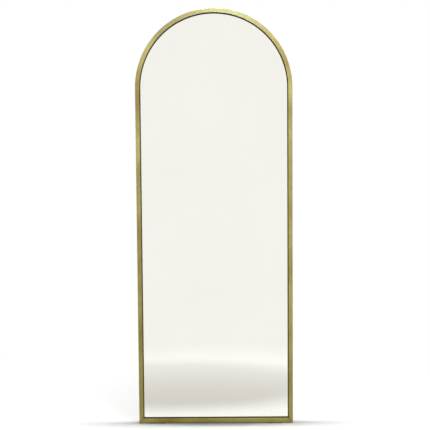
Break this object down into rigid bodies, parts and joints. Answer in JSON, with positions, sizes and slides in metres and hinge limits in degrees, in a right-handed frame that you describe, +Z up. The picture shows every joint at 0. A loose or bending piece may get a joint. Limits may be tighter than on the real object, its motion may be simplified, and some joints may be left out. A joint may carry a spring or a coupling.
{
  "type": "floor mirror",
  "caption": "Full-length arched floor mirror in a slim brushed gold frame, made to lean on a wall, with foot pads, soft bumpers and ring hangers behind.",
  "frame": {"origin": "on the floor, under the middle of the mirror's width and depth", "axes": "+X to the right as seen from the front, +Y to the back, +Z up along the mirror's height; the mirror stands upright"},
  "size_m": [0.6, 0.036, 1.6023],
  "materials": {
    "brushed_gold": "satin",
    "cast_zinc": "satin",
    "zinc_plate": "satin",
    "zinc_screw": "satin",
    "silvered_glass": "polished",
    "clear_film": "gloss",
    "black_tape": "matte",
    "black_rubber": "matte",
    "foam": "matte",
    "fibreboard": "matte"
  },
  "bodies": {
    "mirror": {"backing_board": "fibreboard", "bottom_rail": "brushed_gold", "brace_screws": "zinc_screw", "corner_brace_left": "zinc_plate", "corner_brace_right": "zinc_plate", "corner_key_left": "cast_zinc", "corner_key_right": "cast_zinc", "edge_spacers": "black_rubber", "foam_sheet": "foam", "foot_pad_left": "black_rubber", "foot_pad_right": "black_rubber", "frame_hoop": "brushed_gold", "glazing_tape": "black_tape", "hanger_screws": "zinc_screw", "hanger_strap_left": "zinc_plate", "hanger_strap_right": "zinc_plate", "mirror_glass": "silvered_glass", "retainer_plates": "zinc_plate", "retainer_screws": "zinc_screw", "safety_film": "clear_film", "setting_blocks": "black_rubber", "wall_bumpers": "black_rubber"},
    "ring_left": {"hanger_ring_left": "zinc_plate"},
    "ring_right": {"hanger_ring_right": "zinc_plate"}
  },
  "joints": [
    {"name": "ring_left_swing", "type": "hinge", "parent": "mirror", "child": "ring_left", "pos_m": [-0.23, 0.01338, 1.2425], "axis": [1, 0, 0], "range_deg": [0, 180]},
    {"name": "ring_right_swing", "type": "hinge", "parent": "mirror", "child": "ring_right", "pos_m": [0.23, 0.01338, 1.2425], "axis": [1, 0, 0], "range_deg": [0, 180]}
  ]
}
